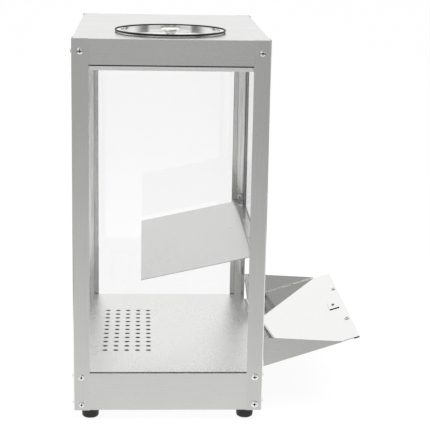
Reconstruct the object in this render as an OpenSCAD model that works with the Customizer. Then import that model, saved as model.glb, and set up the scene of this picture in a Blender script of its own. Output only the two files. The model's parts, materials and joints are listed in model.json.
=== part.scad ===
// Chip warmer: a tall glazed cabinet that is filled through a lid in its top and
// emptied through a tip-out door in its front, with a fan and a heater under the floor.
// +Z is up, the door faces -Y, and the feet stand on z = 0. The door is drawn open.

/* [Cabinet] */
// Width of the cabinet over its posts, left to right
cabinet_w = 510; // [470:1:600]
// Depth of the cabinet over its posts, front to back
cabinet_d = 350; // [330:1:420]
// Height of the frame, without its feet
frame_h = 688; // [560:1:800]
// Height of the base skirt
base_skirt_h = 72; // [70:0.5:90]
// Height of the top cover's skirt
top_skirt_h = 46; // [42:1:70]
// Thickness of the folded sheet pieces
sheet_t = 1; // [0.8:0.1:1.2]

/* [Posts] */
// Width of each leg of a corner post
post_leg = 30; // [28:1:34]
// Thickness of a corner post
post_t = 1; // [0.8:0.1:1.4]
// Width of each leg of a glazing angle
glazing_leg = 15; // [13:0.5:17]
// Thickness of a glazing angle
glazing_t = 1; // [0.8:0.1:1.5]

/* [Windows] */
// Thickness of the glass
glass_t = 3; // [2.8:0.1:4]
// Gap on each side of the glass in its groove
glass_gap = 0.15; // [0.1:0.05:0.3]
// How far the glass reaches up behind the top skirt
glass_top_reach = 13; // [6:1:15]
// Depth of the groove that the glass stands in
glass_groove = 4.6; // [3:0.1:4.8]

/* [Floor] */
// Height of the floor's top face above the base skirt's top edge
floor_proud = 1.6; // [1.3:0.1:3]
// Diameter of an air hole
air_hole_d = 10; // [5:0.5:11]
// Number of rows of air holes, left to right
air_hole_rows = 11; // [5:1:11]
// Number of air holes in each row, front to back
air_hole_cols = 5; // [3:1:5]
// Spacing of the rows
air_pitch_x = 25.5; // [18:0.5:27]
// Spacing of the holes in a row
air_pitch_y = 21; // [16:0.5:25]
// Distance of the air holes' centre from the cabinet's rear face
air_in = 96.5; // [90:0.5:110]

/* [Top] */
// How far the top liner reaches below the top skirt
liner_drop = 10; // [6:1:20]
// Width of the liner's flange under the cover
liner_flange = 14; // [8:1:20]
// Distance of the filler opening's centre from the cabinet's left face
filler_in = 138; // [132:1:220]
// Inside diameter of the filler ring
filler_d = 188; // [150:1:194]
// How far the filler ring hangs below the cover
filler_ring_drop = 16; // [10:1:30]
// Width of the filler ring's flange on the cover
filler_flange = 5; // [4:0.5:7]

/* [Lid] */
// Thickness of the seal under the lid's rim
lid_seal_t = 1.2; // [1:0.1:3]
// How far the lid overhangs the filler ring's flange
lid_overhang = 2.5; // [1.6:0.1:6]
// Depth of the lid's dished middle below its rim
lid_dish = 7; // [5:0.5:10]
// How far the dished middle rises towards the knob
lid_rise = 1.5; // [0.5:0.5:3]
// Diameter of the knob
knob_d = 36; // [30:1:50]
// Height of the knob
knob_h = 8; // [7:0.5:12]

/* [Baffle] */
// Distance of the baffle's sides from the cabinet's sides
baffle_side_in = 25; // [22:1:60]
// Distance of the baffle's rear edge from the cabinet's rear face
baffle_rear_in = 123.5; // [90:0.5:160]
// Height of the baffle's rear edge above the frame's bottom
baffle_rear_h = 245; // [215:1:262]
// Distance of the baffle's bend from the posts' front faces
baffle_bend_in = 24; // [22:1:34]
// Height of the baffle's bend above its flange
baffle_rise = 5; // [3:0.5:9]

/* [Crossbar] */
// Height of the crossbar's top above the frame's bottom
crossbar_top_h = 284; // [276:1:320]
// Depth of the crossbar's top flange
crossbar_flange = 25; // [25:1:60]
// Height of the crossbar's end tabs
crossbar_tab_h = 20; // [18:1:30]

/* [Door] */
// Angle that the open door leans out from upright
door_open_angle = 72; // [60:1:78]
// Gap between the door and the posts on each side
door_side_gap = 7; // [5:0.5:9]
// Distance of the cheeks' tips from the hinge's axis
cheek_tip = 156; // [140:1:160]
// Distance from the cheeks' tips to the door's outer edge
door_overlap = 36; // [35:0.5:42]
// How far the cheeks reach into the cabinet when the door is shut
cheek_depth = 55.8; // [55:0.2:70]
// Height of the cheeks' inner corners above the hinge's axis when the door is shut
cheek_corner = 13.4; // [12:0.2:16]
// Gap between the shut door and the crossbar
door_standoff = 3; // [2.8:0.1:3.4]
// Width of the hem along the door's outer edge
hem_w = 11; // [10:0.5:12]
// Height of the gap inside the hem
hem_gap = 0.8; // [0.6:0.1:1]
// Width of each stop tab on the cheeks
stop_tab_w = 14; // [10:1:15]
// Spacing of the handle's screws
handle_centres = 200; // [128:1:300]
// How far the handle stands off the door
handle_standoff = 30; // [24:1:45]
// Diameter of the handle's rod
handle_rod_d = 8; // [7:0.5:10]

/* [Hinge] */
// Outside diameter of the hinge's knuckles
knuckle_d = 6; // [5.6:0.1:6.2]
// Diameter of the hinge's pin
hinge_pin_d = 3; // [2.4:0.1:3.2]
// Running clearance round the pin
pin_clearance = 0.05; // [0.03:0.01:0.1]
// Number of knuckles, fixed and moving together
knuckle_count = 9; // [5:2:13]
// Height of the hinge's leaves from its axis
leaf_h = 16; // [15:0.5:18]
// Thickness of the hinge's leaves
leaf_t = 1; // [0.8:0.1:1.1]

/* [Feet] */
// Height of the rubber feet
foot_h = 22; // [16:1:30]
// Diameter of a foot at its top
foot_d = 33; // [28:0.5:36]
// Distance of a foot's centre from the cabinet's faces
foot_in = 30; // [24:1:32]

/* [Fan] */
// Width of the fan's square frame
fan_w = 120; // [118:1:123]
// Height of the fan's frame
fan_h = 25; // [25:0.5:28]
// Diameter of the fan's rotor over its blades
rotor_d = 108; // [90:1:110]
// Number of blades
blade_count = 7; // [5:1:9]

/* [Heater] */
// Length of the heater's duct, left to right
duct_l = 284; // [280:1:300]
// Width of the heater's duct, front to back
duct_w = 126; // [124:1:134]
// Diameter of the heater's tube
heater_tube_d = 6.5; // [5:0.5:8]
// Spacing of the heater's four passes
heater_pitch = 26; // [20:1:27]

/* [Switch and inlet] */
// Distance of the switch from the cabinet's right face
switch_in = 105; // [96:1:112]
// Angle that the rocker turns between off and on
rocker_angle = 20; // [14:1:22]
// Distance of the cord gland from the cabinet's right face
gland_in = 54; // [50:1:60]
// Diameter of the gland's bore
gland_bore_d = 8; // [6:0.5:10]

/* [Hidden] */
$fn = 48;

steel = [0.74, 0.74, 0.73];
bright_steel = [0.86, 0.86, 0.86];
dark_steel = [0.5, 0.5, 0.5];
clear_glass = [0.9, 0.95, 0.95, 0.35];
black = [0.08, 0.08, 0.08];
ceramic = [0.9, 0.88, 0.82];

half_w = cabinet_w / 2;
half_d = cabinet_d / 2;
touch = 0.01;
snug = 0.1;

// Insets from the posts' outer faces: the skirts lie inside the posts, and the glass
// stands between the skirts and the glazing angles.
skirt_in = post_t;
skirt_back_in = skirt_in + sheet_t;
glass_in = skirt_back_in + glass_gap;
glass_back_in = glass_in + glass_t;
groove_in = glass_back_in + glass_gap;
glazing_back_in = groove_in + glazing_t;

// Heights above the ground
frame_z = foot_h;
top_z = frame_z + frame_h;
base_top_z = frame_z + base_skirt_h;
floor_z = base_top_z + floor_proud;
floor_under_z = floor_z - sheet_t;
cover_under_z = top_z - sheet_t;
top_skirt_z = top_z - top_skirt_h;
liner_z = top_skirt_z - liner_drop;
glass_z = floor_z - glass_groove;
glass_top_z = top_skirt_z + glass_top_reach;
crossbar_z = frame_z + crossbar_top_h;

// Screws and nuts of the frame: a pan head outside and a hexagon nut inside
screw_d = 4;
screw_hole_d = 4.3;
head_d = 10;
head_h = 2.4;
nut_flats = 7;
nut_h = 2.6;
screw_reach = post_t + sheet_t + nut_h + 0.4;
screw_in = post_leg / 2;
low_screw_h = 11;
skirt_screw_h = base_skirt_h - 8;
top_screw_drop = 23;
baffle_screw_in = 20;
top_screw_h = frame_h - top_screw_drop;

// Hinge and door. In the shut door's own axes the hinge's axis is the origin, +Z runs
// up the door and +Y points into the cabinet.
door_w = cabinet_w - 2 * (post_leg + door_side_gap);
door_h = cheek_tip + door_overlap;
hinge_gap = 0.3;
hinge_y = -half_d + skirt_in - knuckle_d / 2 - hinge_gap;
hinge_z = floor_z - 1.2;
hinge_l = door_w - 16;
knuckle_gap = 0.4;
knuckle_l = (hinge_l - (knuckle_count - 1) * knuckle_gap) / knuckle_count;
door_back_y = -half_d + skirt_in - door_standoff - hinge_y;
door_face_y = door_back_y - sheet_t;
door_foot_z = knuckle_d / 2 + 0.4;
narrow_in = 4;
hem_bend_r = hem_gap / 2 + sheet_t;
hem_face_y = door_face_y - hem_gap - sheet_t;
stop_gap = 0.3;
stop_low = 40;
stop_high = 54;
handle_z = door_h - 6.5;
handle_deep = door_face_y - handle_standoff + handle_rod_d / 2;
handle_bend = 10;
handle_screw_head_d = 9;
handle_screw_head_h = 2.2;
strike_w = 45;
strike_h = 20;
strike_t = 1.5;
strike_edge = 11.5;
strike_z = door_h - strike_edge - strike_h;
leaf_hole_d = 3.2;
leaf_screw_d = 3;
leaf_screw_up = 10.5;
leaf_screw_count = 5;
leaf_head_d = 6;
leaf_head_h = 1.4;

// The crossbar's lower edge clears the cheeks' tips
crossbar_low_z = hinge_z + cheek_tip + 0.6;
crossbar_lip = 8;
catch_z = hinge_z + strike_z + strike_h / 2;
catch_w = 40;
catch_h = 16;
catch_deep = 14;
catch_ear = 12;
catch_ear_h = 12;
catch_ear_t = 2;
catch_face_y = hinge_y + door_back_y + strike_t + 0.3;
catch_screw_d = 3;
stud_h = 12;

// How far out the open door and its handle reach from the cabinet's centre
function open_y(up, deep) = hinge_y + deep * cos(door_open_angle) - up * sin(door_open_angle);
front_reach = -min(open_y(door_h, door_face_y), open_y(handle_z, handle_deep) - handle_rod_d / 2);
gland_out = 14;
rear_reach = max(half_d + head_h, half_d - skirt_in + gland_out);

// The cabinet is set back so that the box round the whole part is centred on the origin
cabinet_y = (front_reach - rear_reach) / 2;

// Fan, duct and heater, upwards from the bottom plate
flange_w = 46;
air_y = half_d - air_in;
plate_top_z = frame_z + 2 * sheet_t;
fan_top_z = plate_top_z + fan_h;
fan_hole_d = rotor_d + 6;
fan_hub_d = 40;
fan_base_h = 3;
fan_spin_z = plate_top_z + 5;
shaft_d = 3;
fan_bolt = fan_w / 2 - 7.5;
heater_lift = 22;
heater_z = fan_top_z + heater_lift;
heater_end_gap = 30;
heater_run = duct_l / 2 - heater_end_gap;
clip_h = 14;
thermostat_x = 60;
heater_out = 14;
bushing_d = 12;
bushing_l = 9;

// Switch, gland and terminal block on the rear skirt
rear_skirt_y = half_d - skirt_in;
inlet_h = 36;
inlet_z = frame_z + inlet_h;
switch_x = half_w - switch_in;
gland_x = half_w - gland_in;
switch_w = 31;
switch_h = 26;
switch_cut_w = 27;
switch_cut_h = 22;
switch_deep = 20;
bezel_t = 2;
rocker_w = 22;
rocker_h = 16.2;
rocker_pin_d = 3;
rocker_y = rear_skirt_y - 4;
gland_hole_d = 16;
gland_flange_d = 22;
gland_nut_d = 23;
terminal_in = 50;

// Filler opening and lid
filler_x = -half_w + filler_in;
filler_wall_r = filler_d / 2 + sheet_t;
filler_flange_r = filler_wall_r + filler_flange;
lid_r = filler_flange_r + lid_overhang;
seal_z = top_z + sheet_t + 0.2;
lid_z = seal_z + lid_seal_t;
lid_bead_r = 1.2;
lid_bead_lift = 0.2;
lid_wall_r = filler_d / 2 - 1.5;
dish_z = lid_z + sheet_t - lid_dish;
knob_z = dish_z + lid_rise;
knob_neck_r = knob_d * 0.28;
knob_screw_d = 5;

foot_screw_d = 5;
foot_seat = 7;
foot_bore_r = 6;
foot_taper = 1;
foot_round = 4.5;
foot_nut_h = 4;

module block(low, high) {
    translate(low) cube(high - low);
}

module in_cabinet() {
    translate([0, cabinet_y, 0]) children();
}

module in_open_door() {
    translate([0, cabinet_y + hinge_y, hinge_z]) rotate([door_open_angle, 0, 0]) children();
}

// Turns what is drawn in the front right corner to the named corner
module at_corner(side, end) {
    in_cabinet() mirror([side < 0 ? 1 : 0, 0, 0]) mirror([0, end < 0 ? 0 : 1, 0]) children();
}

module at_feet() {
    for (x = [-1, 1], y = [-1, 1])
        translate([x * (half_w - foot_in), y * (half_d - foot_in), 0]) children();
}

// Points +Z into the hinge's fixed leaf at each of its screws
module at_leaf_screws(y, z) {
    for (i = [0 : leaf_screw_count - 1])
        translate([(i - (leaf_screw_count - 1) / 2) * hinge_l / leaf_screw_count, y, z])
            rotate([-90, 0, 0]) children();
}

// A rectangular ring of wall, from its inset, its thickness and its two heights
module wall_ring(inset, t, low_z, high_z) {
    difference() {
        block([-half_w + inset, -half_d + inset, low_z], [half_w - inset, half_d - inset, high_z]);
        block([-half_w + inset + t, -half_d + inset + t, low_z - 1],
            [half_w - inset - t, half_d - inset - t, high_z + 1]);
    }
}

// Each post screw's place on its post's outer face, the turn that points +Z into the
// post, and the turn that sets its nut with a flat on top
post_screw_places = concat(
    [for (x = [-1, 1], y = [-1, 1], h = [low_screw_h, skirt_screw_h, top_screw_h])
        [[x * half_w, y * (half_d - screw_in), frame_z + h], [0, -90 * x, 0], 30]],
    [for (x = [-1, 1], h = [low_screw_h, skirt_screw_h, top_screw_h])
        [[x * (half_w - screw_in), half_d, frame_z + h], [90, 0, 0], 0]],
    [for (x = [-1, 1], h = [low_screw_h, skirt_screw_h])
        [[x * (half_w - screw_in), -half_d, frame_z + h], [-90, 0, 0], 0]]);

module at_post_screws() {
    in_cabinet() for (place = post_screw_places)
        translate(place[0]) rotate(place[1]) rotate(place[2]) children();
}

// Clearance holes through a post and the skirt behind it
module post_screw_holes() {
    at_post_screws() translate([0, 0, -1]) cylinder(d = screw_hole_d, h = screw_reach + 1);
}

// A pan head screw along +Z, with the underside of its head at z = 0 and a cross recess
module pan_screw(shank_d, shank_l, wide, high) {
    edge_r = high * 0.45;
    slot_w = wide * 0.14;
    slot_l = wide * 0.56;
    difference() {
        union() {
            translate([0, 0, -touch]) cylinder(d = shank_d, h = shank_l + touch);
            rotate_extrude() {
                translate([0, -high]) square([wide / 2 - edge_r, high]);
                translate([0, edge_r - high]) square([wide / 2, high - edge_r]);
                translate([wide / 2 - edge_r, edge_r - high]) circle(r = edge_r, $fn = 32);
            }
        }
        for (turn = [0, 90])
            rotate(turn) block([-slot_l / 2, -slot_w / 2, -high - 1], [slot_l / 2, slot_w / 2, -high * 0.45]);
    }
}

// A hexagon nut on z = 0, with two flats facing along Y
module hex_nut(bore_d, flats, high) {
    difference() {
        cylinder(d = flats / cos(30), h = high, $fn = 6);
        translate([0, 0, -1]) cylinder(d = bore_d, h = high + 2);
    }
}

// One corner post: two legs that meet at the cabinet's corner
module post(side, end) {
    color(steel) difference() {
        at_corner(side, end) union() {
            block([half_w - post_t, -half_d, frame_z], [half_w, -half_d + post_leg, top_z]);
            block([half_w - post_leg, -half_d, frame_z], [half_w, -half_d + post_t, top_z]);
        }
        post_screw_holes();
    }
}

// One glazing angle, which holds two windows against the skirts from inside. The front
// pair carry the welded studs of the crossbar.
module glazing_angle(side, end) {
    edge_x = half_w - groove_in;
    edge_y = half_d - groove_in;
    color(steel) at_corner(side, end) union() {
        block([edge_x - glazing_t, -edge_y, floor_z], [edge_x, -edge_y + glazing_leg, liner_z]);
        block([edge_x - glazing_leg, -edge_y, floor_z], [edge_x, -edge_y + glazing_t, liner_z]);
        if (end < 0) at_stud() cylinder(d = screw_d, h = sheet_t + snug + nut_h + 1.5);
    }
}

// Points +Z along the stud in the front right corner, from the glazing angle's face
module at_stud() {
    translate([half_w - glazing_back_in + touch, -half_d + groove_in + glazing_leg / 2 + 0.5,
        crossbar_z + stud_h]) rotate([0, -90, 0]) children();
}

// The side windows run the full depth, and the end windows fit between them
module side_window(side) {
    outer = half_w - glass_in;
    long = half_d - glass_in;
    color(clear_glass) in_cabinet() mirror([side < 0 ? 1 : 0, 0, 0])
        block([outer - glass_t, -long, glass_z], [outer, long, glass_top_z]);
}

module end_window(end, low_z) {
    outer = half_d - glass_in;
    wide = half_w - glass_back_in - glass_gap;
    color(clear_glass) in_cabinet() mirror([0, end < 0 ? 0 : 1, 0])
        block([-wide, -outer, low_z], [wide, -outer + glass_t, glass_top_z]);
}

module top_cover() {
    color(bright_steel) difference() {
        in_cabinet() union() {
            wall_ring(skirt_in, sheet_t, top_skirt_z, top_z);
            block([-half_w + skirt_in, -half_d + skirt_in, cover_under_z],
                [half_w - skirt_in, half_d - skirt_in, top_z]);
        }
        post_screw_holes();
        in_cabinet() translate([filler_x, 0, cover_under_z - 1])
            cylinder(r = filler_wall_r + snug, h = sheet_t + 2, $fn = 96);
    }
}

// An inner frame below the cover, which closes the groove that the windows run up into
module top_liner() {
    color(steel) in_cabinet() union() {
        wall_ring(groove_in, sheet_t, liner_z, cover_under_z);
        wall_ring(groove_in, liner_flange, cover_under_z - sheet_t, cover_under_z);
    }
}

// A drawn ring with a flange on the cover, which lines the filler opening
module filler_ring() {
    color(bright_steel) in_cabinet() translate([filler_x, 0, 0]) rotate_extrude($fn = 96) {
        translate([filler_d / 2, top_z - filler_ring_drop]) square([sheet_t, filler_ring_drop + sheet_t]);
        translate([filler_d / 2, top_z]) square([filler_flange_r - filler_d / 2, sheet_t]);
    }
}

module lid_seal() {
    color(black) in_cabinet() translate([filler_x, 0, seal_z]) difference() {
        cylinder(r = lid_r - lid_bead_r, h = lid_seal_t, $fn = 96);
        translate([0, 0, -1]) cylinder(r = filler_wall_r, h = lid_seal_t + 2, $fn = 96);
    }
}

// A dished lid: a rolled rim, a wall down inside the ring and a floor that rises to a
// flat seat for the knob
module lid() {
    seat_r = knob_neck_r + 2;
    floor_r = lid_wall_r - sheet_t / 2;
    color(bright_steel) in_cabinet() translate([filler_x, 0, 0]) difference() {
        rotate_extrude($fn = 96) {
            translate([lid_wall_r - sheet_t, lid_z])
                square([lid_r - lid_bead_r - lid_wall_r + sheet_t, sheet_t]);
            translate([lid_r - lid_bead_r, lid_z + lid_bead_r + lid_bead_lift])
                circle(r = lid_bead_r, $fn = 32);
            translate([lid_wall_r - sheet_t, dish_z - sheet_t]) square([sheet_t, lid_dish + touch]);
            polygon([[0, knob_z - sheet_t], [seat_r, knob_z - sheet_t], [floor_r, dish_z - sheet_t],
                [floor_r, dish_z], [seat_r, knob_z], [0, knob_z]]);
        }
        translate([0, 0, knob_z - sheet_t - 1]) cylinder(d = knob_screw_d + 0.2, h = sheet_t + 2);
    }
}

module lid_knob() {
    cap_h = knob_h * 0.5;
    color(bright_steel) in_cabinet() translate([filler_x, 0, knob_z]) difference() {
        rotate_extrude() {
            square([knob_neck_r, knob_h - cap_h + touch]);
            translate([0, knob_h - cap_h]) square([knob_d / 2 - cap_h / 2, cap_h]);
            translate([knob_d / 2 - cap_h / 2, knob_h - cap_h / 2]) circle(d = cap_h, $fn = 32);
        }
        translate([0, 0, -1]) cylinder(d = knob_screw_d, h = knob_h * 0.7 + 1);
    }
}

module lid_knob_screw() {
    color(steel) in_cabinet() translate([filler_x, 0, knob_z - sheet_t])
        pan_screw(knob_screw_d, sheet_t + knob_h * 0.6, head_d, head_h);
}

// The base skirt, with a flange folded in all round under it
module base_shell() {
    color(steel) difference() {
        in_cabinet() difference() {
            union() {
                wall_ring(skirt_in, sheet_t, frame_z, base_top_z);
                wall_ring(skirt_in, flange_w, frame_z, frame_z + sheet_t);
            }
            at_feet() cylinder(d = foot_screw_d + 0.4, h = frame_z + 5);
            block([switch_x - switch_cut_w / 2, half_d - 8, inlet_z - switch_cut_h / 2],
                [switch_x + switch_cut_w / 2, half_d + 8, inlet_z + switch_cut_h / 2]);
            translate([gland_x, half_d + 8, inlet_z]) rotate([90, 0, 0]) cylinder(d = gland_hole_d, h = 16);
            at_leaf_screws(-half_d - 1, hinge_z - leaf_screw_up) cylinder(d = leaf_hole_d, h = 6);
        }
        post_screw_holes();
    }
}

// The bottom plate lies on the base shell's flange and has a slotted inlet under the fan
module bottom_plate() {
    slot_pitch = 11;
    slot_w = 5;
    inlet_r = rotor_d / 2 - 5;
    slots = floor(inlet_r / slot_pitch);
    color(steel) in_cabinet() difference() {
        block([-half_w + skirt_back_in, -half_d + skirt_back_in, frame_z + sheet_t],
            [half_w - skirt_back_in, half_d - skirt_back_in, plate_top_z]);
        at_feet() cylinder(d = foot_screw_d + 0.4, h = plate_top_z + 1);
        at_fan_screws(frame_z) cylinder(d = screw_hole_d, h = 4);
        for (i = [-slots : slots]) {
            chord = sqrt(inlet_r * inlet_r - i * i * slot_pitch * slot_pitch);
            block([-chord, air_y + i * slot_pitch - slot_w / 2, frame_z],
                [chord, air_y + i * slot_pitch + slot_w / 2, plate_top_z + 1]);
        }
    }
}

// The floor: a deck with air holes, folded down at its edges into a groove for the glass
module floor_deck() {
    color(bright_steel) in_cabinet() difference() {
        union() {
            block([-half_w + groove_in, -half_d + skirt_in, floor_under_z],
                [half_w - groove_in, half_d - groove_in, floor_z]);
            wall_ring(groove_in, sheet_t, glass_z - sheet_t, floor_under_z + touch);
            wall_ring(skirt_back_in, groove_in + sheet_t - skirt_back_in, glass_z - sheet_t, glass_z);
        }
        for (i = [0 : air_hole_rows - 1], j = [0 : air_hole_cols - 1])
            translate([(i - (air_hole_rows - 1) / 2) * air_pitch_x,
                air_y + (j - (air_hole_cols - 1) / 2) * air_pitch_y, floor_under_z - 1])
                cylinder(d = air_hole_d, h = sheet_t + 2, $fn = 24);
    }
}

// One tapered rubber foot with a rounded lower edge and a counterbore for its screw
module foot(side, end) {
    round_x = foot_d / 2 - foot_taper - foot_round;
    foot_edge = [for (turn = [0 : 15 : 90])
        [round_x + foot_round * cos(turn), foot_round * (1 - sin(turn))]];
    color(black) in_cabinet() translate([side * (half_w - foot_in), end * (half_d - foot_in), 0])
        rotate_extrude()
            polygon(concat([[foot_screw_d / 2 + 0.2, foot_seat], [foot_screw_d / 2 + 0.2, foot_h],
                [foot_d / 2, foot_h]], foot_edge, [[foot_bore_r, 0], [foot_bore_r, foot_seat]]));
}

module foot_screws() {
    shank_l = foot_h - foot_seat + 2 * sheet_t + foot_nut_h + 1;
    color(steel) in_cabinet() at_feet() translate([0, 0, foot_seat])
        pan_screw(foot_screw_d, shank_l, head_d, 3);
}

module foot_nuts() {
    color(steel) in_cabinet() at_feet() translate([0, 0, plate_top_z])
        hex_nut(foot_screw_d, 8, foot_nut_h);
}

module post_screws() {
    color(bright_steel) at_post_screws() pan_screw(screw_d, screw_reach, head_d, head_h);
}

// All nuts of one size: behind the post screws, on the crossbar's studs and under the baffle
module frame_nuts() {
    color(bright_steel) {
        at_post_screws() translate([0, 0, post_t + sheet_t]) hex_nut(screw_d, nut_flats, nut_h);
        for (side = [-1, 1])
            at_corner(side, -1) at_stud() translate([0, 0, sheet_t + snug + touch])
                hex_nut(screw_d, nut_flats, nut_h);
        at_baffle_screws() translate([0, 0, 2 * sheet_t]) hex_nut(screw_d, nut_flats, nut_h);
    }
}

// The front crossbar: a face behind the shut door's top and a flange under the baffle
module crossbar() {
    tab_x = half_w - glazing_back_in - snug;
    glazing_end_x = half_w - groove_in - glazing_leg - 0.4;
    glazing_back_y = -half_d + glazing_back_in + 0.4;
    face_y = -half_d + skirt_in;
    color(steel) in_cabinet() difference() {
        union() {
            block([-half_w + skirt_in, face_y, crossbar_low_z],
                [half_w - skirt_in, face_y + sheet_t, crossbar_z]);
            block([-glazing_end_x, face_y, crossbar_z - sheet_t],
                [glazing_end_x, -half_d + crossbar_flange, crossbar_z]);
            block([-tab_x, glazing_back_y, crossbar_z - sheet_t],
                [tab_x, -half_d + crossbar_flange, crossbar_z]);
            block([-glazing_end_x, face_y, crossbar_low_z],
                [glazing_end_x, face_y + crossbar_lip, crossbar_low_z + sheet_t]);
            for (side = [-1, 1])
                mirror([side < 0 ? 1 : 0, 0, 0])
                    block([tab_x - sheet_t, glazing_back_y, crossbar_z - sheet_t],
                        [tab_x, -half_d + groove_in + glazing_leg, crossbar_z + crossbar_tab_h]);
        }
        block([-catch_w / 2 - 0.3, face_y - 1, catch_z - catch_h / 2 - 0.3],
            [catch_w / 2 + 0.3, face_y + sheet_t + 1, catch_z + catch_h / 2 + 0.3]);
        for (side = [-1, 1]) {
            mirror([side < 0 ? 1 : 0, 0, 0]) at_stud() translate([0, 0, -touch])
                cylinder(d = screw_hole_d, h = 4);
            translate([side * handle_centres / 2, face_y - 1, hinge_z + handle_z]) rotate([-90, 0, 0])
                cylinder(d = handle_screw_head_d + 4, h = sheet_t + 2);
            translate([side * (catch_w + catch_ear) / 2, face_y - 1, catch_z]) rotate([-90, 0, 0])
                cylinder(d = catch_screw_d, h = sheet_t + 2);
        }
        translate([0, -cabinet_y, 0]) at_baffle_screws() cylinder(d = screw_hole_d, h = 4);
    }
}

// Points +Z down through the baffle's flange and the crossbar's
module at_baffle_screws() {
    spread = half_w - baffle_side_in - baffle_screw_in;
    in_cabinet() for (x = [-1, -1 / 3, 1 / 3, 1])
        translate([x * spread, -half_d + baffle_bend_in - 9.5, crossbar_z + sheet_t])
            rotate([180, 0, 0]) children();
}

// The baffle slopes down from the crossbar and sends the chips to the rear of the floor
module baffle() {
    wide = cabinet_w - 2 * baffle_side_in;
    bend_y = -half_d + baffle_bend_in;
    bend_z = crossbar_z + sheet_t + baffle_rise;
    rear_y = half_d - baffle_rear_in;
    rear_z = frame_z + baffle_rear_h;
    color(bright_steel) difference() {
        in_cabinet() translate([-wide / 2, 0, 0]) rotate([90, 0, 90]) linear_extrude(wide) {
            translate([-half_d + groove_in + snug, crossbar_z])
                square([baffle_bend_in - groove_in - snug, sheet_t]);
            translate([bend_y - sheet_t, crossbar_z]) square([sheet_t, baffle_rise + sheet_t]);
            polygon([[bend_y - sheet_t, bend_z - sheet_t], [bend_y - sheet_t, bend_z],
                [rear_y, rear_z], [rear_y, rear_z - sheet_t]]);
        }
        at_baffle_screws() translate([0, 0, -1]) cylinder(d = screw_hole_d, h = 3);
    }
}

module baffle_screws() {
    color(bright_steel) at_baffle_screws() pan_screw(screw_d, 2 * sheet_t + nut_h + 1, 8, head_h);
}

// The door: a panel with two folded cheeks, a hem along its outer edge and a stop tab
// on each cheek that meets the post from inside when the door is open
module door() {
    cheek_x = door_w / 2 - sheet_t;
    stop_y = -half_d + post_t + stop_gap;
    color(bright_steel) union() {
        in_open_door() difference() {
            union() {
                block([-door_w / 2, door_face_y, door_foot_z], [door_w / 2, door_back_y, cheek_tip]);
                block([-door_w / 2 + narrow_in, door_face_y, cheek_tip - touch],
                    [door_w / 2 - narrow_in, door_back_y, door_h - hem_bend_r]);
                block([-door_w / 2 + narrow_in, hem_face_y, door_h - hem_w],
                    [door_w / 2 - narrow_in, hem_face_y + sheet_t, door_h - hem_bend_r]);
                translate([-door_w / 2 + narrow_in, door_face_y - hem_gap / 2, door_h - hem_bend_r])
                    rotate([90, 0, 90]) linear_extrude(door_w - 2 * narrow_in) intersection() {
                        difference() {
                            circle(r = hem_bend_r);
                            circle(r = hem_gap / 2);
                        }
                        translate([-hem_bend_r, -touch]) square([2 * hem_bend_r, hem_bend_r + touch]);
                    }
                for (x = [-door_w / 2, cheek_x])
                    translate([x, 0, 0]) rotate([90, 0, 90]) linear_extrude(sheet_t)
                        polygon([[door_face_y, door_foot_z], [cheek_depth, cheek_corner],
                            [door_back_y + 1.2, cheek_tip], [door_face_y, cheek_tip]]);
            }
            for (x = [-1, 1])
                translate([x * handle_centres / 2, hem_face_y - 1, handle_z]) rotate([-90, 0, 0])
                    cylinder(d = screw_hole_d, h = door_back_y - hem_face_y + 2);
            translate([0, door_face_y - 1, strike_z + strike_h / 2]) rotate([-90, 0, 0])
                cylinder(d = leaf_hole_d, h = sheet_t + 2);
            at_leaf_screws(door_face_y - 1, leaf_screw_up) cylinder(d = leaf_hole_d, h = sheet_t + 2);
        }
        in_cabinet() for (side = [-1, 1])
            mirror([side < 0 ? 1 : 0, 0, 0]) {
                block([cheek_x, stop_y, hinge_z + stop_low],
                    [cheek_x + stop_tab_w, stop_y + sheet_t, hinge_z + stop_high]);
                block([cheek_x, hinge_y, hinge_z + stop_low],
                    [cheek_x + sheet_t, stop_y + sheet_t, hinge_z + stop_high]);
            }
    }
}

// A bow handle on the door's hem, with a tapped hole in each leg
module door_handle() {
    half = handle_centres / 2;
    leg = hem_face_y - handle_deep - handle_bend;
    color(steel) in_open_door() translate([0, hem_face_y, handle_z]) difference() {
        union() {
            translate([-half + handle_bend, -leg - handle_bend, 0]) rotate([0, 90, 0])
                cylinder(d = handle_rod_d, h = 2 * (half - handle_bend));
            for (side = [-1, 1])
                mirror([side < 0 ? 1 : 0, 0, 0]) {
                    translate([half, 0, 0]) rotate([90, 0, 0]) cylinder(d = handle_rod_d, h = leg);
                    translate([half - handle_bend, -leg, 0]) rotate([0, 0, -90])
                        rotate_extrude(angle = 90) translate([handle_bend, 0]) circle(d = handle_rod_d);
                }
        }
        for (x = [-half, half])
            translate([x, 1, 0]) rotate([90, 0, 0]) cylinder(d = screw_d, h = 11);
    }
}

module handle_screws() {
    color(bright_steel) in_open_door() for (x = [-1, 1])
        translate([x * handle_centres / 2, door_back_y, handle_z]) rotate([90, 0, 0])
            pan_screw(screw_d, door_back_y - hem_face_y + 8, handle_screw_head_d, handle_screw_head_h);
}

module strike_plate() {
    color(bright_steel) in_open_door() difference() {
        block([-strike_w / 2, door_back_y, strike_z],
            [strike_w / 2, door_back_y + strike_t, strike_z + strike_h]);
        translate([0, door_back_y - 1, strike_z + strike_h / 2]) rotate([-90, 0, 0])
            cylinder(d = leaf_hole_d, h = strike_t + 2);
    }
}

module strike_rivet() {
    color(dark_steel) in_open_door() translate([0, door_back_y + strike_t, strike_z + strike_h / 2])
        rotate([90, 0, 0]) pan_screw(leaf_screw_d, sheet_t + strike_t, leaf_head_d, leaf_head_h);
}

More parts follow.
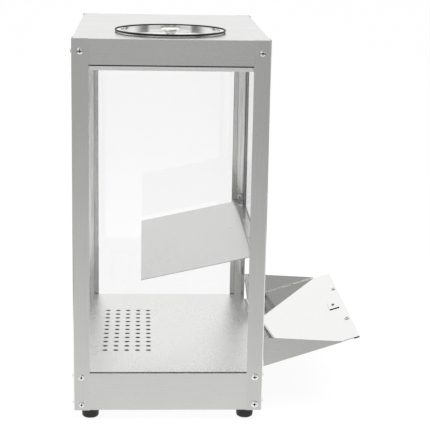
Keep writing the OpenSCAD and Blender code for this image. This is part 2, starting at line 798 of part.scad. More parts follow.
// One leaf of the hinge in the shut door's axes: a plate from the axis up, cut back at
// the other leaf's knuckles, with every second knuckle rolled round the pin
module hinge_leaf(first, plate_y, bore_d) {
    color(steel) difference() {
        union() {
            block([-hinge_l / 2, plate_y, knuckle_d / 2 + 0.4], [hinge_l / 2, plate_y + leaf_t, leaf_h]);
            for (i = [first : 2 : knuckle_count - 1])
                translate([-hinge_l / 2 + i * (knuckle_l + knuckle_gap), 0, 0]) {
                    rotate([0, 90, 0]) cylinder(d = knuckle_d, h = knuckle_l);
                    block([0, plate_y, 0], [knuckle_l, plate_y + leaf_t, knuckle_d / 2 + 0.5]);
                }
        }
        translate([-hinge_l / 2 - 1, 0, 0]) rotate([0, 90, 0]) cylinder(d = bore_d, h = hinge_l + 2);
        at_leaf_screws(plate_y - 1, leaf_screw_up) cylinder(d = leaf_hole_d, h = leaf_t + 2);
    }
}

// The fixed leaf hangs down from the axis against the base shell's front face
module hinge_fixed_leaf() {
    in_cabinet() translate([0, hinge_y, hinge_z]) mirror([0, 0, 1])
        hinge_leaf(0, knuckle_d / 2 + hinge_gap - leaf_t, hinge_pin_d);
}

module hinge_door_leaf() {
    in_open_door() hinge_leaf(1, door_face_y - leaf_t, hinge_pin_d + 2 * pin_clearance);
}

module hinge_pin() {
    color(dark_steel) in_cabinet() translate([-hinge_l / 2 - 1, hinge_y, hinge_z]) rotate([0, 90, 0])
        cylinder(d = hinge_pin_d, h = hinge_l + 2);
}

module hinge_screws() {
    color(steel) in_cabinet() at_leaf_screws(-half_d + skirt_in - leaf_t, hinge_z - leaf_screw_up)
        pan_screw(leaf_screw_d, leaf_t + sheet_t + 3, leaf_head_d, leaf_head_h);
}

module hinge_rivets() {
    color(steel) in_open_door() at_leaf_screws(door_face_y - leaf_t, leaf_screw_up)
        pan_screw(leaf_screw_d, leaf_t + sheet_t, leaf_head_d, leaf_head_h);
}

// The magnetic catch stands in the crossbar's face, with a recess for the strike's rivet
module magnet_catch() {
    ear_y = -half_d + skirt_back_in;
    ear_x = catch_w / 2 + catch_ear;
    color(black) in_cabinet() difference() {
        union() {
            block([-catch_w / 2, catch_face_y, catch_z - catch_h / 2],
                [catch_w / 2, catch_face_y + catch_deep, catch_z + catch_h / 2]);
            block([-ear_x, ear_y, catch_z - catch_ear_h / 2],
                [ear_x, ear_y + catch_ear_t, catch_z + catch_ear_h / 2]);
        }
        translate([0, catch_face_y - 1, catch_z]) rotate([-90, 0, 0]) cylinder(d = leaf_head_d + 3, h = 4);
        for (x = [-1, 1])
            translate([x * (catch_w + catch_ear) / 2, ear_y - 1, catch_z]) rotate([-90, 0, 0])
                cylinder(d = leaf_hole_d, h = catch_ear_t + 2);
    }
}

module catch_screws() {
    color(bright_steel) in_cabinet() for (x = [-1, 1])
        translate([x * (catch_w + catch_ear) / 2, -half_d + skirt_back_in + catch_ear_t, catch_z])
            rotate([90, 0, 0]) pan_screw(catch_screw_d, catch_ear_t + sheet_t, leaf_head_d, leaf_head_h);
}

module at_fan_screws(z) {
    for (x = [-1, 1], y = [-1, 1])
        translate([x * fan_bolt, air_y + y * fan_bolt, z]) children();
}

// The fan's square frame, with its motor's seat on four struts
module fan_frame() {
    strut_w = 5;
    color(black) in_cabinet() difference() {
        union() {
            difference() {
                block([-fan_w / 2, air_y - fan_w / 2, plate_top_z],
                    [fan_w / 2, air_y + fan_w / 2, fan_top_z]);
                translate([0, air_y, plate_top_z - 1]) cylinder(d = fan_hole_d, h = fan_h + 2, $fn = 96);
            }
            translate([0, air_y, plate_top_z]) cylinder(d = fan_hub_d, h = fan_base_h);
            translate([0, air_y, plate_top_z]) for (turn = [45, 135])
                rotate(turn) block([-fan_hole_d / 2 - 1, -strut_w / 2, 0],
                    [fan_hole_d / 2 + 1, strut_w / 2, fan_base_h]);
        }
        at_fan_screws(plate_top_z - 1) cylinder(d = screw_hole_d, h = fan_h + 2);
    }
}

module fan_motor() {
    color(dark_steel) in_cabinet() translate([0, air_y, plate_top_z + fan_base_h]) {
        cylinder(d = fan_hub_d - 12, h = 13);
        cylinder(d = shaft_d, h = fan_h - fan_base_h - 2);
    }
}

// The rotor: a cup over the motor, bored for the shaft, with flat pitched blades
module fan_rotor() {
    cup_h = fan_h - 6;
    blade_h = cup_h - 1;
    blade_chord = 30;
    color(black) in_cabinet() translate([0, air_y, fan_spin_z]) difference() {
        union() {
            cylinder(d = fan_hub_d, h = cup_h);
            intersection() {
                for (i = [0 : blade_count - 1])
                    rotate(i * 360 / blade_count) translate([rotor_d / 4 + 4, 0, blade_h / 2 + 0.5])
                        rotate([35, 0, 0]) cube([rotor_d / 2, blade_chord, 1.6], center = true);
                translate([0, 0, 0.5]) cylinder(d = rotor_d, h = blade_h, $fn = 96);
            }
        }
        difference() {
            translate([0, 0, -1]) cylinder(d = fan_hub_d - 6, h = cup_h - 2);
            cylinder(d = 10, h = cup_h);
        }
        translate([0, 0, -1]) cylinder(d = fan_hub_d - 6, h = 13);
        translate([0, 0, -2]) cylinder(d = shaft_d + 2 * pin_clearance, h = cup_h + 4);
    }
}

module fan_screws() {
    color(steel) in_cabinet() at_fan_screws(fan_top_z + sheet_t) rotate([180, 0, 0])
        pan_screw(screw_d, sheet_t + fan_h + sheet_t, 8, head_h);
}

// The duct carries the fan's air past the heater to the holes in the floor
module heater_duct() {
    lip = 8;
    low = [-duct_l / 2, air_y - duct_w / 2, fan_top_z];
    high = [duct_l / 2, air_y + duct_w / 2, floor_under_z];
    color(steel) in_cabinet() difference() {
        union() {
            block(low, high);
            block([low[0] - lip, low[1] - lip, floor_under_z - sheet_t],
                [high[0] + lip, high[1] + lip, floor_under_z]);
        }
        block(low + [sheet_t, sheet_t, sheet_t], high + [-sheet_t, -sheet_t, 1]);
        translate([0, air_y, fan_top_z - 1]) cylinder(d = fan_hole_d, h = 4, $fn = 96);
        at_fan_screws(fan_top_z - 1) cylinder(d = screw_hole_d, h = 4);
        at_heater_ends() cylinder(d = bushing_d, h = sheet_t + 2);
    }
}

// Points +Z out through the duct's left wall at the heater tube's two ends
module at_heater_ends() {
    for (y = [-1, 1])
        translate([-duct_l / 2 + sheet_t + 1, air_y + y * 1.5 * heater_pitch, heater_z])
            rotate([0, -90, 0]) children();
}

// The heater's tube: four passes joined by round bends, with both ends out on the left
module heater_element() {
    end_x = duct_l / 2 + heater_out;
    color(dark_steel) in_cabinet() translate([0, air_y, heater_z]) {
        for (i = [-1.5 : 1 : 1.5]) {
            left = abs(i) > 1 ? end_x : heater_run;
            translate([-left, i * heater_pitch, 0]) rotate([0, 90, 0])
                cylinder(d = heater_tube_d, h = left + heater_run);
        }
        for (y = [-heater_pitch, heater_pitch])
            translate([heater_run, y, 0]) rotate(-90) heater_bend();
        translate([-heater_run, 0, 0]) rotate(90) heater_bend();
    }
}

module heater_bend() {
    rotate_extrude(angle = 180) translate([heater_pitch / 2, 0]) circle(d = heater_tube_d);
}

// Two strips across the duct that the tube's passes run through
module heater_clips() {
    color(steel) in_cabinet() for (x = [-1, 1])
        difference() {
            block([x * heater_run / 2 - sheet_t / 2, air_y - duct_w / 2 + sheet_t, heater_z - clip_h / 2],
                [x * heater_run / 2 + sheet_t / 2, air_y + duct_w / 2 - sheet_t, heater_z + clip_h / 2]);
            for (i = [-1.5 : 1 : 1.5])
                translate([x * heater_run / 2 - 2, air_y + i * heater_pitch, heater_z]) rotate([0, 90, 0])
                    cylinder(d = heater_tube_d + snug, h = 4);
        }
}

module heater_bushings() {
    color(ceramic) in_cabinet() at_heater_ends() translate([0, 0, -3]) difference() {
        union() {
            cylinder(d = bushing_d, h = bushing_l);
            translate([0, 0, 4 + sheet_t]) cylinder(d = bushing_d + 4, h = 3);
        }
        translate([0, 0, -1]) cylinder(d = heater_tube_d + snug, h = bushing_l + 2);
    }
}

module limit_thermostat() {
    color(black) in_cabinet() translate([thermostat_x, air_y - duct_w / 2, heater_z]) {
        block([-12, -1, -4], [12, 0, 4]);
        rotate([90, 0, 0]) cylinder(d = 16, h = 8);
        for (x = [-4, 4])
            block([x - 1.5, -14, -0.4], [x + 1.5, -7, 0.4]);
    }
}

// The switch's body stands in the rear skirt and holds the rocker's pivots
module switch_housing() {
    wall_x = rocker_w / 2 + 0.4;
    color(black) in_cabinet() translate([switch_x, 0, inlet_z]) difference() {
        union() {
            block([-switch_w / 2, rear_skirt_y, -switch_h / 2],
                [switch_w / 2, rear_skirt_y + bezel_t, switch_h / 2]);
            block([-switch_cut_w / 2 + snug, rear_skirt_y - switch_deep, -switch_cut_h / 2 + snug],
                [switch_cut_w / 2 - snug, rear_skirt_y + 1, switch_cut_h / 2 - snug]);
        }
        block([-wall_x, rocker_y - 9, -rocker_h / 2 - 1.5],
            [wall_x, rear_skirt_y + bezel_t + 1, rocker_h / 2 + 1.5]);
        translate([-rocker_w / 2 - 1.3, rocker_y, 0]) rotate([0, 90, 0])
            cylinder(d = rocker_pin_d + 2 * pin_clearance, h = rocker_w + 2.6);
    }
}

// The rocker, tipped to off, on two pivots that are moulded on its sides
module switch_rocker() {
    half_h = rocker_h / 2;
    color(black) in_cabinet() translate([switch_x, rocker_y, inlet_z]) rotate([rocker_angle / 2, 0, 0]) {
        translate([-rocker_w / 2, 0, 0]) rotate([90, 0, 90]) linear_extrude(rocker_w)
            polygon([[-4, -5], [-4, 5], [2, half_h], [7.5, half_h], [5.5, 0], [7.5, -half_h], [2, -half_h]]);
        translate([-rocker_w / 2 - 1.2, 0, 0]) rotate([0, 90, 0])
            cylinder(d = rocker_pin_d, h = rocker_w + 2.4);
    }
}

// The inlet for the supply cord: a flange and domed nut outside and a locknut inside
module cord_gland() {
    flange_t = 4;
    inside_l = sheet_t + 9;
    color(black) in_cabinet() translate([gland_x, rear_skirt_y, inlet_z]) rotate([-90, 0, 0]) difference() {
        union() {
            cylinder(d = gland_flange_d, h = flange_t);
            translate([0, 0, flange_t]) cylinder(d1 = 19, d2 = gland_bore_d + 5, h = gland_out - flange_t);
            translate([0, 0, -inside_l]) cylinder(d = gland_hole_d - 0.2, h = inside_l + 1);
            translate([0, 0, -sheet_t - 5]) cylinder(d = gland_nut_d, h = 5, $fn = 6);
        }
        translate([0, 0, -inside_l - 1]) cylinder(d = gland_bore_d, h = inside_l + gland_out + 2);
    }
}

module terminal_block() {
    color(ceramic) in_cabinet() translate([gland_x, half_d - terminal_in, plate_top_z]) difference() {
        block([-18, -9, 0], [18, 9, 14]);
        for (x = [-12, 0, 12])
            translate([x, 0, 8]) cylinder(d = 4, h = 8);
    }
}

post(-1, -1);  // post_front_left
post(1, -1);  // post_front_right
post(-1, 1);  // post_rear_left
post(1, 1);  // post_rear_right
glazing_angle(-1, -1);  // glazing_angle_front_left
glazing_angle(1, -1);  // glazing_angle_front_right
glazing_angle(-1, 1);  // glazing_angle_rear_left
glazing_angle(1, 1);  // glazing_angle_rear_right
side_window(-1);  // window_left
side_window(1);  // window_right
end_window(1, glass_z);  // window_rear
end_window(-1, crossbar_z);  // window_front
top_cover();
top_liner();
filler_ring();
lid();
lid_seal();
lid_knob();
lid_knob_screw();
base_shell();
bottom_plate();
floor_deck();
foot(-1, -1);  // foot_front_left
foot(1, -1);  // foot_front_right
foot(-1, 1);  // foot_rear_left
foot(1, 1);  // foot_rear_right
foot_screws();
foot_nuts();
post_screws();
frame_nuts();
crossbar();
baffle();
baffle_screws();
door();
door_handle();
handle_screws();
strike_plate();
strike_rivet();
hinge_fixed_leaf();
hinge_door_leaf();
hinge_pin();
hinge_screws();
hinge_rivets();
magnet_catch();
catch_screws();
fan_frame();
fan_motor();
fan_rotor();
fan_screws();
heater_duct();
heater_element();
heater_clips();
heater_bushings();
limit_thermostat();
switch_housing();
switch_rocker();
cord_gland();
terminal_block();
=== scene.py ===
import json
import math

import bmesh
import bpy
from mathutils import Matrix, Vector


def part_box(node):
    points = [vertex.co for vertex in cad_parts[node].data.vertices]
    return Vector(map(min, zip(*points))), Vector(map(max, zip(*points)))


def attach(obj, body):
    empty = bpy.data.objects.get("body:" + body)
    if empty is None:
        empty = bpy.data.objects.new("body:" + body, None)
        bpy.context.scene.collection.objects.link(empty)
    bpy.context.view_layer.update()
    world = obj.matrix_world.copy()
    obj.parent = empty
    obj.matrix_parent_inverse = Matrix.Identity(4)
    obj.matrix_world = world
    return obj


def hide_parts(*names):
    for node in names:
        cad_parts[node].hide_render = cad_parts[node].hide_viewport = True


# Chip warmer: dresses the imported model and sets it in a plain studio. Metres throughout.
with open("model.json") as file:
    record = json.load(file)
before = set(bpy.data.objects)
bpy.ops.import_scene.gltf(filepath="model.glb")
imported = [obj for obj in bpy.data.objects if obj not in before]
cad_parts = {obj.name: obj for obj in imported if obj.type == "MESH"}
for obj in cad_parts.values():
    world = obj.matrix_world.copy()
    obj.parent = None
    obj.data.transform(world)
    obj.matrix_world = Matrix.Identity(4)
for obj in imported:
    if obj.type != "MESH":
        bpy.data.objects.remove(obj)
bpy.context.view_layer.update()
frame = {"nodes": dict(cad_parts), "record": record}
nodes = frame["nodes"]
scene = bpy.context.scene
mm = 0.001

nodeBody = {n: b for b, names in frame["record"]["behaviour"]["bodies"].items() for n in names}
nodeSlot = {s["node"]: s["material_slot"] for s in frame["record"]["subparts"]}
print("frame loaded:", len(nodes), "nodes")


def linearColor(hexCode):
    # sRGB hex to the linear values that shaders use
    parts = [int(hexCode[i:i + 2], 16) / 255 for i in (1, 3, 5)]
    return tuple(c / 12.92 if c <= 0.04045 else ((c + 0.055) / 1.055) ** 2.4 for c in parts) + (1,)


def addNode(tree, kind, settings=None, links=None):
    # settings are input values or the node's own options, links are the sockets that feed it
    node = tree.nodes.new(kind)
    for key, value in (settings or {}).items():
        if isinstance(key, int) or key in node.inputs:
            node.inputs[key].default_value = value
        else:
            setattr(node, key, value)
    for key, source in (links or {}).items():
        tree.links.new(source, node.inputs[key])
    return node


def newMaterial(name):
    material = bpy.data.materials.new(name)
    material.use_nodes = True
    material.node_tree.nodes.clear()
    return material, material.node_tree


# Where the cabinet stands in the frame
shellLow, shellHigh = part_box("base_shell")
cabinet = {"centre": (shellLow + shellHigh) / 2, "footHeight": shellLow.z}

# Camera: solved from the photograph, as a place in the cabinet's own axes and three turns
camera = {
    "place": (-2.5888, 0.0495, 0.9289),  # from the cabinet's centre at the bottom of its frame
    "yaw": -3.197, "pitch": -13.356, "roll": 1.054,  # degrees, yaw from +X
    "focal": 1334.914, "imageSize": 430, "sensor": 36,  # pixels, pixels, millimetres
    "nearest": 0.05, "farthest": 60,  # metres that the camera sees
}


def makeCamera(look):
    data = bpy.data.cameras.new("camera")
    data.sensor_width = look["sensor"]
    data.lens = look["focal"] / look["imageSize"] * look["sensor"]
    data.clip_start, data.clip_end = look["nearest"], look["farthest"]
    obj = bpy.data.objects.new("camera", data)
    scene.collection.objects.link(obj)
    yaw, pitch, roll = (math.radians(look[k]) for k in ("yaw", "pitch", "roll"))
    ahead = Vector((math.cos(pitch) * math.cos(yaw), math.cos(pitch) * math.sin(yaw), math.sin(pitch)))
    right = ahead.cross(Vector((0, 0, 1))).normalized()
    up = right.cross(ahead)
    right, up = (math.cos(roll) * right + math.sin(roll) * up,
                 math.cos(roll) * up - math.sin(roll) * right)
    turn = Matrix((right, up, -ahead)).transposed().to_4x4()
    base = Vector((cabinet["centre"].x, cabinet["centre"].y, cabinet["footHeight"]))
    obj.matrix_world = Matrix.Translation(base + Vector(look["place"])) @ turn
    scene.camera = obj


makeCamera(camera)
print("camera placed")

# Studio: a white world and floor to the eye. Gloss sees a white wall behind the object and
# a ceiling, and on the near side a grey horizon, a soft light at the left and a dark room.
# Levels are strengths, where 1 is white. World reaches are parts of a unit direction along
# X, Y or Z, and floor reaches are metres.
studio = {
    "wall": 1.0, "wallReach": (-0.45, 0.15), "horizon": 0.95, "room": 0.38, "roomReach": (0.11, 0.16),
    "dark": 0.05, "darkReach": (0.32, 0.44), "softLight": 1.5, "softLightReach": (0.22, 0.38),
    "aside": 0.3, "asideReach": (0.72, 0.84), "ceiling": 0.9, "ceilingReach": (0.66, 0.80),
    "ceilingLight": 1.25, "ceilingLightReach": (0.88, 0.95), "ambient": 0.62,
    "floorPaint": "#F4F4F4", "floorWhite": 1.07, "floorWash": 0.85,
    "floorNear": 1.11, "floorFar": 0.66, "floorReach": (0.35, 3.0),
    "floorFront": 1.0, "floorFrontReach": (0.0, -0.25), "floorBehind": 0.97, "floorBehindReach": (0.1, 0.6),
    "floorAside": 0.2, "floorAsideReach": (0.8, 1.4), "floorHalf": 14, "floorDrop": 0.0004,
}
lamps = {
    "keyLamp": {"place": (-1.3, -1.0, 2.3), "size": 1.6, "power": 26},
    "fillLamp": {"place": (-0.6, 1.9, 1.6), "size": 2.0, "power": 12},
}
lampAim = Vector((0, cabinet["centre"].y, 0.35))


def reachOf(look, name, start, end):
    # The settings of a soft step from start to end over the reach of that name
    low, high = look[name + "Reach"]
    return {"interpolation_type": "SMOOTHSTEP", "From Min": low, "From Max": high, "To Min": start,
        "To Max": end}


def makeWorld(look):
    world = bpy.data.worlds.new("studioWorld")
    scene.world = world
    world.use_nodes = True
    tree = world.node_tree
    tree.nodes.clear()
    path = addNode(tree, "ShaderNodeLightPath")
    place = addNode(tree, "ShaderNodeTexCoord")
    axes = addNode(tree, "ShaderNodeSeparateXYZ", links={0: place.outputs["Generated"]})
    along, across, up = (axes.outputs[axis] for axis in "XYZ")
    # The near side: a horizon, the room over it, and above them dark with a soft light at the left
    softLight = addNode(tree, "ShaderNodeMapRange",
        reachOf(look, "softLight", look["dark"], look["softLight"]), {"Value": across})
    low = addNode(tree, "ShaderNodeMapRange", reachOf(look, "room", look["horizon"], look["room"]),
        {"Value": up})
    high = addNode(tree, "ShaderNodeMapRange", reachOf(look, "dark", 0, 1), {"Value": up})
    nearSide = addNode(tree, "ShaderNodeMix", {"data_type": "FLOAT"},
        {0: high.outputs[0], 2: low.outputs[0], 3: softLight.outputs[0]})
    apart = addNode(tree, "ShaderNodeMath", {"operation": "ABSOLUTE"}, {0: across})
    aside = addNode(tree, "ShaderNodeMapRange", reachOf(look, "aside", 1, look["aside"]),
        {"Value": apart.outputs[0]})
    near = addNode(tree, "ShaderNodeMath", {"operation": "MULTIPLY"},
        {0: nearSide.outputs[0], 1: aside.outputs[0]})
    # Then the wall behind, the ceiling and the light in its middle
    behind = addNode(tree, "ShaderNodeMapRange", reachOf(look, "wall", 0, 1), {"Value": along})
    side = addNode(tree, "ShaderNodeMix", {"data_type": "FLOAT", 3: look["wall"]},
        {0: behind.outputs[0], 2: near.outputs[0]})
    rise = addNode(tree, "ShaderNodeMapRange", reachOf(look, "ceiling", 0, 1), {"Value": up})
    room = addNode(tree, "ShaderNodeMix", {"data_type": "FLOAT", 3: look["ceiling"]},
        {0: rise.outputs[0], 2: side.outputs[0]})
    lamp = addNode(tree, "ShaderNodeMapRange", reachOf(look, "ceilingLight", 0, 1), {"Value": up})
    whole = addNode(tree, "ShaderNodeMix", {"data_type": "FLOAT", 3: look["ceilingLight"]},
        {0: lamp.outputs[0], 2: room.outputs[0]})
    gloss = addNode(tree, "ShaderNodeMix", {"data_type": "FLOAT", 2: look["ambient"]},
        {0: path.outputs["Is Glossy Ray"], 3: whole.outputs[0]})
    seen = addNode(tree, "ShaderNodeMath", {"operation": "MAXIMUM"},
        {0: path.outputs["Is Camera Ray"], 1: path.outputs["Is Transmission Ray"]})
    level = addNode(tree, "ShaderNodeMix", {"data_type": "FLOAT", 3: 1.0},
        {0: seen.outputs[0], 2: gloss.outputs[0]})
    back = addNode(tree, "ShaderNodeBackground", {"Color": (1, 1, 1, 1)}, {"Strength": level.outputs[0]})
    addNode(tree, "ShaderNodeOutputWorld", links={"Surface": back.outputs[0]})


def makeFloor(look):
    material, tree = newMaterial("paleStudioFloor")
    path = addNode(tree, "ShaderNodeLightPath")
    place = addNode(tree, "ShaderNodeTexCoord")
    axes = addNode(tree, "ShaderNodeSeparateXYZ", links={0: place.outputs["Object"]})
    flat = addNode(tree, "ShaderNodeVectorMath", {"operation": "MULTIPLY", 1: (1, 1, 0)},
        {0: place.outputs["Object"]})
    away = addNode(tree, "ShaderNodeVectorMath", {"operation": "LENGTH"}, {0: flat.outputs[0]})
    # In gloss: bright by the object, darker far off, in front and to the sides
    near, far = look["floorReach"]
    fade = addNode(tree, "ShaderNodeMapRange", {"From Min": near, "From Max": far,
        "To Min": look["floorNear"], "To Max": look["floorFar"]}, {"Value": away.outputs["Value"]})
    ahead = addNode(tree, "ShaderNodeMapRange",
        reachOf(look, "floorFront", 1, look["floorFront"] / look["floorNear"]), {"Value": axes.outputs["Y"]})
    front = addNode(tree, "ShaderNodeMath", {"operation": "MULTIPLY"},
        {0: fade.outputs[0], 1: ahead.outputs[0]})
    behind = addNode(tree, "ShaderNodeMapRange", reachOf(look, "floorBehind", 0, 1),
        {"Value": axes.outputs["X"]})
    whole = addNode(tree, "ShaderNodeMix", {"data_type": "FLOAT", 3: look["floorBehind"]},
        {0: behind.outputs[0], 2: front.outputs[0]})
    apart = addNode(tree, "ShaderNodeMath", {"operation": "ABSOLUTE"}, {0: axes.outputs["Y"]})
    aside = addNode(tree, "ShaderNodeMapRange", reachOf(look, "floorAside", 1, look["floorAside"]),
        {"Value": apart.outputs[0]})
    level = addNode(tree, "ShaderNodeMath", {"operation": "MULTIPLY"},
        {0: whole.outputs[0], 1: aside.outputs[0]})
    glow = addNode(tree, "ShaderNodeEmission", {"Color": (1, 1, 1, 1)}, {"Strength": level.outputs[0]})
    # To the eye: white, with a little of the paint that takes the shadow
    paint = addNode(tree, "ShaderNodeBsdfDiffuse", {"Color": linearColor(look["floorPaint"])})
    white = addNode(tree, "ShaderNodeEmission", {"Color": (1, 1, 1, 1), "Strength": look["floorWhite"]})
    shown = addNode(tree, "ShaderNodeMixShader", {0: look["floorWash"]},
        {1: paint.outputs[0], 2: white.outputs[0]})
    seen = addNode(tree, "ShaderNodeMath", {"operation": "MAXIMUM"},
        {0: path.outputs["Is Camera Ray"], 1: path.outputs["Is Transmission Ray"]})
    first = addNode(tree, "ShaderNodeMixShader", links={0: path.outputs["Is Glossy Ray"],
        1: paint.outputs[0], 2: glow.outputs[0]})
    last = addNode(tree, "ShaderNodeMixShader", links={0: seen.outputs[0], 1: first.outputs[0],
        2: shown.outputs[0]})
    addNode(tree, "ShaderNodeOutputMaterial", links={"Surface": last.outputs[0]})
    mesh = bpy.data.meshes.new("studioFloor")
    half = look["floorHalf"]
    corners = [(-half, -half, 0), (half, -half, 0), (half, half, 0), (-half, half, 0)]
    mesh.from_pydata(corners, [], [(0, 1, 2, 3)])
    mesh.materials.append(material)
    floor = bpy.data.objects.new("studioFloor", mesh)
    floor.location = (0, 0, -look["floorDrop"])
    scene.collection.objects.link(floor)


def makeLamp(name, look):
    data = bpy.data.lights.new(name, "AREA")
    data.shape = "DISK"
    data.size, data.energy = look["size"], look["power"]
    lamp = bpy.data.objects.new(name, data)
    lamp.location = look["place"]
    lamp.rotation_euler = (lampAim - Vector(look["place"])).to_track_quat("-Z", "Y").to_euler()
    lamp.visible_camera = False
    lamp.visible_glossy = False
    scene.collection.objects.link(lamp)


makeWorld(studio)
makeFloor(studio)
for name, look in lamps.items():
    makeLamp(name, look)
scene.view_settings.view_transform = "Standard"
print("studio ready")

# Steels. The sheet is 304 stainless. Its grain comes from belt grinding: long fine
# scratches one way, which stretch every highlight across them. The real scratches are
# about 0.1 mm apart, and are drawn coarser here so that they show.
grainLook = {"spacing": 1.1, "length": 90, "cloud": 60, "cloudShare": 0.6}  # millimetres, and a share
noiseSpan = {"From Min": 0.3, "From Max": 0.7}  # nearly all of a noise texture's values
levelFace = 0.7  # least upward part of a level face's direction


def grainPattern(tree, grain, spacing, look=grainLook):
    # Noise drawn out along the grain: "x", "y", "z", or "flat" for level lines on upright
    # faces that turn into lines along x on level faces
    place = addNode(tree, "ShaderNodeTexCoord")
    fine, long = 1 / (spacing * mm), 1 / (look["length"] * mm)

    def lines(scale):
        spread = addNode(tree, "ShaderNodeMapping", {"vector_type": "POINT", "Scale": scale},
            {"Vector": place.outputs["Object"]})
        return addNode(tree, "ShaderNodeTexNoise", {"Scale": 1, "Detail": 3, "Roughness": 0.6},
            {"Vector": spread.outputs[0]}).outputs["Fac"]

    scales = {"x": (long, fine, fine), "y": (fine, long, fine), "z": (fine, fine, long)}
    if grain in scales:
        return lines(scales[grain])
    face = addNode(tree, "ShaderNodeSeparateXYZ", links={0: place.outputs["Normal"]})
    upward = addNode(tree, "ShaderNodeMath", {"operation": "ABSOLUTE"}, {0: face.outputs["Z"]})
    isLevel = addNode(tree, "ShaderNodeMath", {"operation": "GREATER_THAN", 1: levelFace},
        {0: upward.outputs[0]})
    return addNode(tree, "ShaderNodeMix", {"data_type": "FLOAT"},
        {0: isLevel.outputs[0], 2: lines((long, long, fine)), 3: lines(scales["x"])}).outputs[0]


def finishSurface(tree, look, color, gloss, height, settings):
    # A height pattern of the look's depth, and a gloss pattern over its range of roughness
    rough = addNode(tree, "ShaderNodeMapRange", dict(noiseSpan, **{"To Min": look["roughness"][0],
        "To Max": look["roughness"][1]}), {"Value": gloss})
    relief = addNode(tree, "ShaderNodeBump", {"Strength": 1.0, "Distance": look["depth"] * mm},
        {"Height": height})
    shader = addNode(tree, "ShaderNodeBsdfPrincipled", settings,
        {"Roughness": rough.outputs[0], "Normal": relief.outputs[0]})
    if isinstance(color, tuple):
        shader.inputs["Base Color"].default_value = color
    else:
        tree.links.new(color, shader.inputs["Base Color"])
    addNode(tree, "ShaderNodeOutputMaterial", links={"Surface": shader.outputs[0]})
    return shader


def brushedSteel(name, look):
    # look: color (bright scratches), shade (dark scratches), roughness (low, high), grain,
    # depth in mm, and where it differs from the usual the spacing in mm. stretch, where it is
    # given, blurs reflections along Y, across scratches that run along X
    material, tree = newMaterial(name)
    lines = grainPattern(tree, look["grain"], look.get("spacing", grainLook["spacing"]))
    place = addNode(tree, "ShaderNodeTexCoord")
    cloud = addNode(tree, "ShaderNodeTexNoise", {"Scale": 1 / (grainLook["cloud"] * mm), "Detail": 2},
        {"Vector": place.outputs["Object"]})
    tone = addNode(tree, "ShaderNodeMapRange", noiseSpan, {"Value": lines})
    color = addNode(tree, "ShaderNodeMix", {"data_type": "RGBA", 6: linearColor(look["shade"]),
        7: linearColor(look["color"])}, {0: tone.outputs[0]})
    scratches = addNode(tree, "ShaderNodeMath", {"operation": "MULTIPLY", 1: 1 - grainLook["cloudShare"]},
        {0: lines})
    smear = addNode(tree, "ShaderNodeMath", {"operation": "MULTIPLY_ADD", 1: grainLook["cloudShare"]},
        {0: cloud.outputs["Fac"], 2: scratches.outputs[0]})
    shader = finishSurface(tree, look, color.outputs[2], smear.outputs[0], lines, {"Metallic": 1.0})
    if "stretch" in look:
        across = addNode(tree, "ShaderNodeCombineXYZ", {"Y": 1.0})
        shader.inputs["Anisotropic"].default_value = look["stretch"]
        tree.links.new(across.outputs[0], shader.inputs["Tangent"])
    return material


def spunSteel(name, look, centre):
    # 304 sheet spun and polished on a lathe: near mirror gloss with faint rings round the centre
    material, tree = newMaterial(name)
    place = addNode(tree, "ShaderNodeTexCoord")
    flat = addNode(tree, "ShaderNodeVectorMath", {"operation": "MULTIPLY_ADD", 1: (1, 1, 0),
        2: (-centre[0], -centre[1], 0)}, {0: place.outputs["Object"]})
    radius = addNode(tree, "ShaderNodeVectorMath", {"operation": "LENGTH"}, {0: flat.outputs[0]})
    rings = addNode(tree, "ShaderNodeTexNoise", {"noise_dimensions": "1D",
        "Scale": 1 / (look["spacing"] * mm), "Detail": 2}, {"W": radius.outputs["Value"]}).outputs["Fac"]
    finishSurface(tree, look, linearColor(look["color"]), rings, rings, {"Metallic": 1.0})
    return material


def windowGlass(name, look):
    # Clear float glass: nothing of its own colour, a mirror only at a glancing look
    material, tree = newMaterial(name)
    facing = addNode(tree, "ShaderNodeLayerWeight", {"Blend": 0.5})
    glance = addNode(tree, "ShaderNodeMath", {"operation": "POWER", 1: look["power"]},
        {0: facing.outputs["Facing"]})
    mirror = addNode(tree, "ShaderNodeMath", {"operation": "MULTIPLY_ADD",
        1: look["glancing"] - look["straight"], 2: look["straight"]}, {0: glance.outputs[0]})
    clear = addNode(tree, "ShaderNodeBsdfTransparent", {"Color": linearColor(look["color"])})
    gloss = addNode(tree, "ShaderNodeBsdfGlossy", {"Color": (1, 1, 1, 1), "Roughness": look["roughness"]})
    pane = addNode(tree, "ShaderNodeMixShader", links={0: mirror.outputs[0], 1: clear.outputs[0],
        2: gloss.outputs[0]})
    addNode(tree, "ShaderNodeOutputMaterial", links={"Surface": pane.outputs[0]})
    return material


def mouldedMaterial(name, look):
    # Rubber, plastic and ceramic: one colour with a fine moulded grain of the stated size
    material, tree = newMaterial(name)
    place = addNode(tree, "ShaderNodeTexCoord")
    grain = addNode(tree, "ShaderNodeTexNoise", {"Scale": 1 / (look["grain"] * mm), "Detail": 3},
        {"Vector": place.outputs["Object"]}).outputs["Fac"]
    finishSurface(tree, look, linearColor(look["color"]), grain, grain, {"IOR": look["ior"]})
    return material


